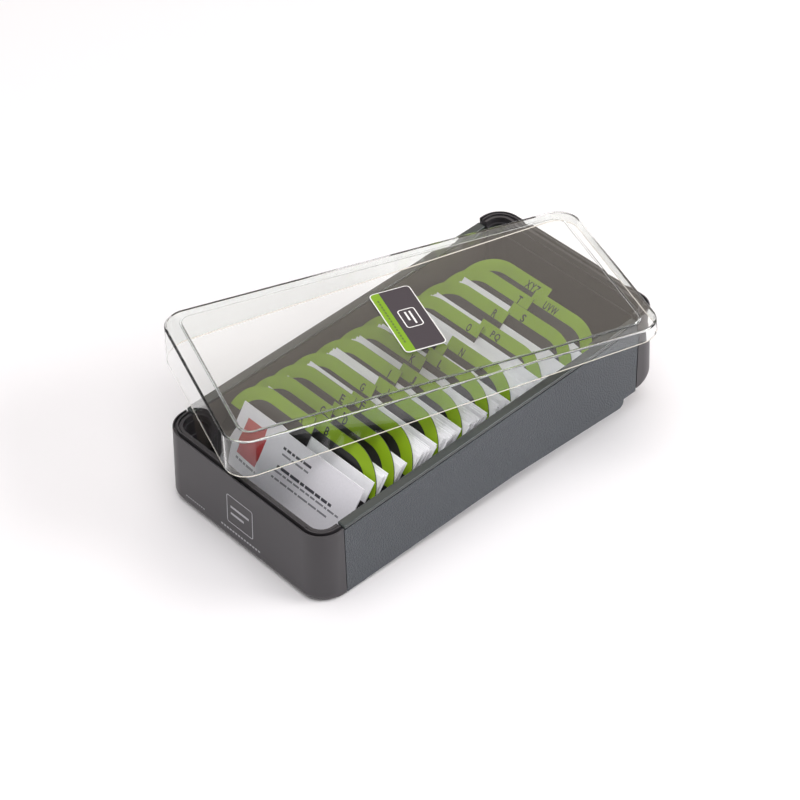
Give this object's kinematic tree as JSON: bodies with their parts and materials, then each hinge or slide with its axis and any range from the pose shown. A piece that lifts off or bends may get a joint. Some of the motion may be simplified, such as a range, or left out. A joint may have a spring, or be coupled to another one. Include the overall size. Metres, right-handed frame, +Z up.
{
  "type": "desk card index tray",
  "caption": "Desk tray for business cards with an index deck of tabbed dividers, moulded ends, grained sides, a wedge plinth and a loose clear lid laid across it.",
  "frame": {"origin": "middle of the wedge plinth's flat underside, on the table", "axes": "+Z up, +Y from the front end to the taller rear end, +X to the right seen from the front"},
  "size_m": [0.187, 0.2555, 0.0859],
  "materials": {
    "cap_moulding": "satin charcoal moulding",
    "grained_panel": "leather-grained charcoal",
    "rail_moulding": "smooth satin charcoal",
    "liner_moulding": "smooth warm charcoal",
    "plinth_moulding": "fine textured charcoal",
    "clear_lid": "clear polished",
    "label_print": "gloss printed label",
    "index_board": "charcoal board with a printed green border",
    "card_stock": "plain white card",
    "printed_card": "pale printed card"
  },
  "bodies": {
    "tray": {"front_cap": "cap_moulding", "rear_cap": "cap_moulding", "side_panel_left": "grained_panel", "side_panel_right": "grained_panel", "top_rail_left": "rail_moulding", "top_rail_right": "rail_moulding", "tray_liner": "liner_moulding", "plinth_foot": "plinth_moulding", "back_rest": "liner_moulding"},
    "lid": {"lid_shell": "clear_lid", "lid_label": "label_print"},
    "front_card": {"front_card": "printed_card"},
    "second_card": {"second_card": "printed_card"},
    "index_a": {"divider_a": "index_board"},
    "index_b": {"divider_b": "index_board", "card_pack_b": "card_stock"},
    "index_c": {"divider_c": "index_board"},
    "index_d": {"divider_d": "index_board", "card_pack_d": "card_stock"},
    "index_e": {"divider_e": "index_board"},
    "index_f": {"divider_f": "index_board", "card_pack_f": "card_stock"},
    "index_g": {"divider_g": "index_board", "card_pack_g": "card_stock"},
    "index_h": {"divider_h": "index_board", "card_pack_h": "card_stock"},
    "index_i": {"divider_i": "index_board", "card_pack_i": "card_stock"},
    "index_j": {"divider_j": "index_board", "card_pack_j": "card_stock"},
    "index_k": {"divider_k": "index_board", "card_pack_k": "card_stock"},
    "index_l": {"divider_l": "index_board", "card_pack_l": "card_stock"},
    "index_m": {"divider_m": "index_board", "card_pack_m": "card_stock"},
    "index_n": {"divider_n": "index_board", "card_pack_n": "card_stock"},
    "index_o": {"divider_o": "index_board", "card_pack_o": "card_stock"},
    "index_pq": {"divider_pq": "index_board", "card_pack_pq": "card_stock"},
    "index_r": {"divider_r": "index_board", "card_pack_r": "card_stock"},
    "index_s": {"divider_s": "index_board", "card_pack_s": "card_stock"},
    "index_t": {"divider_t": "index_board"},
    "index_uvw": {"divider_uvw": "index_board"},
    "index_xyz": {"divider_xyz": "index_board"}
  },
  "joints": [
    {"name": "lid_lift", "type": "slide", "parent": "tray", "child": "lid", "axis": [0, 0, 1], "range_m": [0, 0.12]},
    {"name": "front_card_tip", "type": "hinge", "parent": "tray", "child": "front_card", "pos_m": [0, -0.11409, 0.00369], "axis": [1, 0, 0], "range_deg": [0, 34.71]},
    {"name": "second_card_tip", "type": "hinge", "parent": "tray", "child": "second_card", "pos_m": [0, -0.1075, 0.00411], "axis": [1, 0, 0], "range_deg": [0, 35.53]},
    {"name": "index_a_tip", "type": "hinge", "parent": "tray", "child": "index_a", "pos_m": [0, -0.1085, 0.00405], "axis": [1, 0, 0], "range_deg": [0, 35.41]},
    {"name": "index_b_tip", "type": "hinge", "parent": "tray", "child": "index_b", "pos_m": [0, -0.10441, 0.0043], "axis": [1, 0, 0], "range_deg": [0, 35.92]},
    {"name": "index_c_tip", "type": "hinge", "parent": "tray", "child": "index_c", "pos_m": [0, -0.09642, 0.00481], "axis": [1, 0, 0], "range_deg": [0, 36.93]},
    {"name": "index_d_tip", "type": "hinge", "parent": "tray", "child": "index_d", "pos_m": [0, -0.09323, 0.00501], "axis": [1, 0, 0], "range_deg": [0, 37.33]},
    {"name": "index_e_tip", "type": "hinge", "parent": "tray", "child": "index_e", "pos_m": [0, -0.08415, 0.00558], "axis": [1, 0, 0], "range_deg": [0, 38.47]},
    {"name": "index_f_tip", "type": "hinge", "parent": "tray", "child": "index_f", "pos_m": [0, -0.08155, 0.00574], "axis": [1, 0, 0], "range_deg": [0, 38.8]},
    {"name": "index_g_tip", "type": "hinge", "parent": "tray", "child": "index_g", "pos_m": [0, -0.07137, 0.00638], "axis": [1, 0, 0], "range_deg": [0, 40.08]},
    {"name": "index_h_tip", "type": "hinge", "parent": "tray", "child": "index_h", "pos_m": [0, -0.06528, 0.00677], "axis": [1, 0, 0], "range_deg": [0, 40.84]},
    {"name": "index_i_tip", "type": "hinge", "parent": "tray", "child": "index_i", "pos_m": [0, -0.0552, 0.0074], "axis": [1, 0, 0], "range_deg": [0, 42.11]},
    {"name": "index_j_tip", "type": "hinge", "parent": "tray", "child": "index_j", "pos_m": [0, -0.04992, 0.00773], "axis": [1, 0, 0], "range_deg": [0, 42.77]},
    {"name": "index_k_tip", "type": "hinge", "parent": "tray", "child": "index_k", "pos_m": [0, -0.03934, 0.0084], "axis": [1, 0, 0], "range_deg": [0, 44.11]},
    {"name": "index_l_tip", "type": "hinge", "parent": "tray", "child": "index_l", "pos_m": [0, -0.03225, 0.00884], "axis": [1, 0, 0], "range_deg": [0, 45]},
    {"name": "index_m_tip", "type": "hinge", "parent": "tray", "child": "index_m", "pos_m": [0, -0.02526, 0.00928], "axis": [1, 0, 0], "range_deg": [0, 45.88]},
    {"name": "index_n_tip", "type": "hinge", "parent": "tray", "child": "index_n", "pos_m": [0, -0.01778, 0.00975], "axis": [1, 0, 0], "range_deg": [0, 46.82]},
    {"name": "index_o_tip", "type": "hinge", "parent": "tray", "child": "index_o", "pos_m": [0, -0.00151, 0.01078], "axis": [1, 0, 0], "range_deg": [0, 48.86]},
    {"name": "index_pq_tip", "type": "hinge", "parent": "tray", "child": "index_pq", "pos_m": [0, 0.00318, 0.01107], "axis": [1, 0, 0], "range_deg": [0, 49.45]},
    {"name": "index_r_tip", "type": "hinge", "parent": "tray", "child": "index_r", "pos_m": [0, 0.01625, 0.01189], "axis": [1, 0, 0], "range_deg": [0, 51.1]},
    {"name": "index_s_tip", "type": "hinge", "parent": "tray", "child": "index_s", "pos_m": [0, 0.02424, 0.0124], "axis": [1, 0, 0], "range_deg": [0, 52.1]},
    {"name": "index_t_tip", "type": "hinge", "parent": "tray", "child": "index_t", "pos_m": [0, 0.03362, 0.01299], "axis": [1, 0, 0], "range_deg": [0, 53.28]},
    {"name": "index_uvw_tip", "type": "hinge", "parent": "tray", "child": "index_uvw", "pos_m": [0, 0.04031, 0.01341], "axis": [1, 0, 0], "range_deg": [0, 54.12]},
    {"name": "index_xyz_tip", "type": "hinge", "parent": "tray", "child": "index_xyz", "pos_m": [0, 0.04649, 0.0138], "axis": [1, 0, 0], "range_deg": [0, 54.9]}
  ],
  "couplings": [
    {"joint": "front_card_tip", "follows": "lid_lift", "rad_per_m": 5.0473},
    {"joint": "second_card_tip", "follows": "lid_lift", "rad_per_m": 5.1677},
    {"joint": "index_a_tip", "follows": "lid_lift", "rad_per_m": 5.1494},
    {"joint": "index_b_tip", "follows": "lid_lift", "rad_per_m": 5.2243},
    {"joint": "index_c_tip", "follows": "lid_lift", "rad_per_m": 5.3703},
    {"joint": "index_d_tip", "follows": "lid_lift", "rad_per_m": 5.4287},
    {"joint": "index_e_tip", "follows": "lid_lift", "rad_per_m": 5.5948},
    {"joint": "index_f_tip", "follows": "lid_lift", "rad_per_m": 5.6422},
    {"joint": "index_g_tip", "follows": "lid_lift", "rad_per_m": 5.8284},
    {"joint": "index_h_tip", "follows": "lid_lift", "rad_per_m": 5.9398},
    {"joint": "index_i_tip", "follows": "lid_lift", "rad_per_m": 6.124},
    {"joint": "index_j_tip", "follows": "lid_lift", "rad_per_m": 6.2207},
    {"joint": "index_k_tip", "follows": "lid_lift", "rad_per_m": 6.4143},
    {"joint": "index_l_tip", "follows": "lid_lift", "rad_per_m": 6.5439},
    {"joint": "index_m_tip", "follows": "lid_lift", "rad_per_m": 6.6716},
    {"joint": "index_n_tip", "follows": "lid_lift", "rad_per_m": 6.8084},
    {"joint": "index_o_tip", "follows": "lid_lift", "rad_per_m": 7.106},
    {"joint": "index_pq_tip", "follows": "lid_lift", "rad_per_m": 7.1918},
    {"joint": "index_r_tip", "follows": "lid_lift", "rad_per_m": 7.4309},
    {"joint": "index_s_tip", "follows": "lid_lift", "rad_per_m": 7.5769},
    {"joint": "index_t_tip", "follows": "lid_lift", "rad_per_m": 7.7485},
    {"joint": "index_uvw_tip", "follows": "lid_lift", "rad_per_m": 7.8707},
    {"joint": "index_xyz_tip", "follows": "lid_lift", "rad_per_m": 7.9839}
  ]
}
